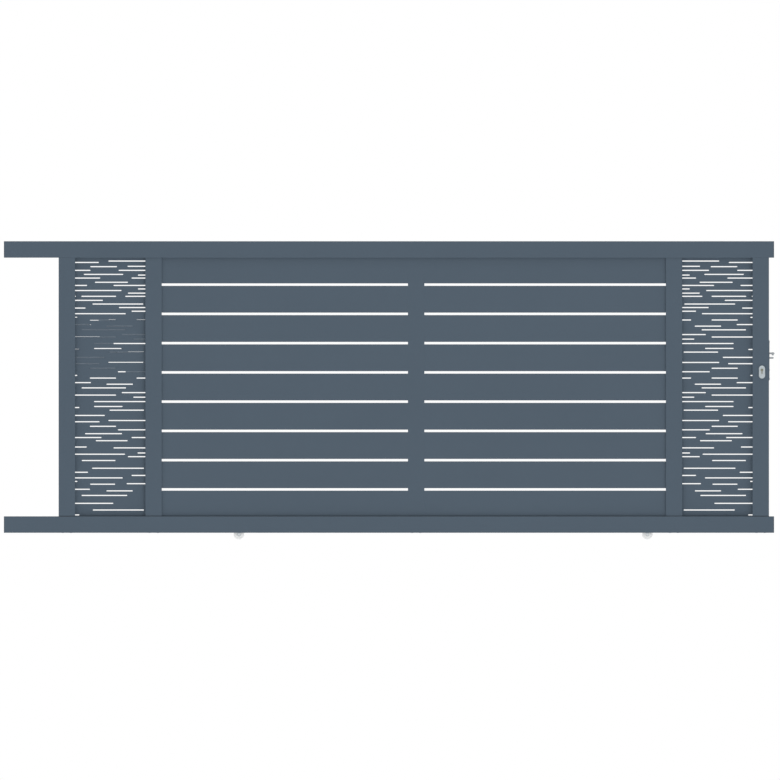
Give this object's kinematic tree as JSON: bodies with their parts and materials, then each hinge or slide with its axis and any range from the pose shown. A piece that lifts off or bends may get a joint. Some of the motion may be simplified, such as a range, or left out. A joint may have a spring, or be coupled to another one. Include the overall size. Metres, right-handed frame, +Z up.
{
  "type": "sliding driveway gate leaf",
  "caption": "Flat sliding gate leaf with wide horizontal boards, slotted side panels, ground wheels and a hook lock.",
  "frame": {"origin": "on the flat underside of the bottom rail, at mid length and mid depth", "axes": "+X along the gate from its tail to its lock edge, +Y through the gate from front to back, +Z up"},
  "size_m": [4.394, 0.068, 1.701],
  "materials": {
    "frame_paint": "satin",
    "board_paint": "satin",
    "sheet_paint": "satin",
    "lap_sheet_paint": "satin",
    "cap_plastic": "satin",
    "wheel_nylon": "satin",
    "zinc_steel": "satin",
    "bolt_steel": "satin",
    "lock_steel": "satin",
    "escutcheon_satin": "satin",
    "cylinder_nickel": "satin",
    "plug_brass": "satin"
  },
  "bodies": {
    "leaf": {"back_escutcheon": "escutcheon_satin", "bottom_rail": "frame_paint", "bottom_rail_nose_cap": "cap_plastic", "bottom_rail_tail_cap": "cap_plastic", "centre_upright": "frame_paint", "front_escutcheon": "escutcheon_satin", "guide_finger": "bolt_steel", "left_axle": "zinc_steel", "left_board_1": "board_paint", "left_board_2": "board_paint", "left_board_3": "board_paint", "left_board_4": "board_paint", "left_board_5": "board_paint", "left_board_6": "board_paint", "left_board_7": "board_paint", "left_board_8": "board_paint", "left_board_9": "board_paint", "left_inner_upright": "frame_paint", "left_lap_sheet": "lap_sheet_paint", "left_slotted_sheet": "sheet_paint", "left_stile": "frame_paint", "left_wheel_carrier": "zinc_steel", "lock_case": "lock_steel", "lock_cylinder": "cylinder_nickel", "lock_faceplate": "lock_steel", "lock_stile": "frame_paint", "right_axle": "zinc_steel", "right_board_1": "board_paint", "right_board_2": "board_paint", "right_board_3": "board_paint", "right_board_4": "board_paint", "right_board_5": "board_paint", "right_board_6": "board_paint", "right_board_7": "board_paint", "right_board_8": "board_paint", "right_board_9": "board_paint", "right_inner_upright": "frame_paint", "right_slotted_sheet": "sheet_paint", "right_wheel_carrier": "zinc_steel", "top_rail": "frame_paint", "top_rail_nose_cap": "cap_plastic", "top_rail_tail_cap": "cap_plastic"},
    "left_roller": {"left_wheel": "wheel_nylon"},
    "right_roller": {"right_wheel": "wheel_nylon"},
    "hook": {"hook_bolt": "bolt_steel"},
    "plug": {"key_plug": "plug_brass"}
  },
  "joints": [
    {"name": "left_wheel_spin", "type": "hinge", "parent": "leaf", "child": "left_roller", "pos_m": [-0.855, 0, -0.009], "axis": [0, 1, 0], "continuous": true},
    {"name": "right_wheel_spin", "type": "hinge", "parent": "leaf", "child": "right_roller", "pos_m": [1.473, 0, -0.009], "axis": [0, 1, 0], "continuous": true},
    {"name": "hook_swing", "type": "hinge", "parent": "leaf", "child": "hook", "pos_m": [2.149, 0, 1.023], "axis": [0, -1, 0], "range_deg": [0, 90]},
    {"name": "key_turn", "type": "hinge", "parent": "leaf", "child": "plug", "pos_m": [2.126, 0, 0.928], "axis": [0, -1, 0], "range_deg": [0, 360]}
  ],
  "couplings": [
    {"joint": "key_turn", "follows": "hook_swing", "ratio": 4}
  ]
}
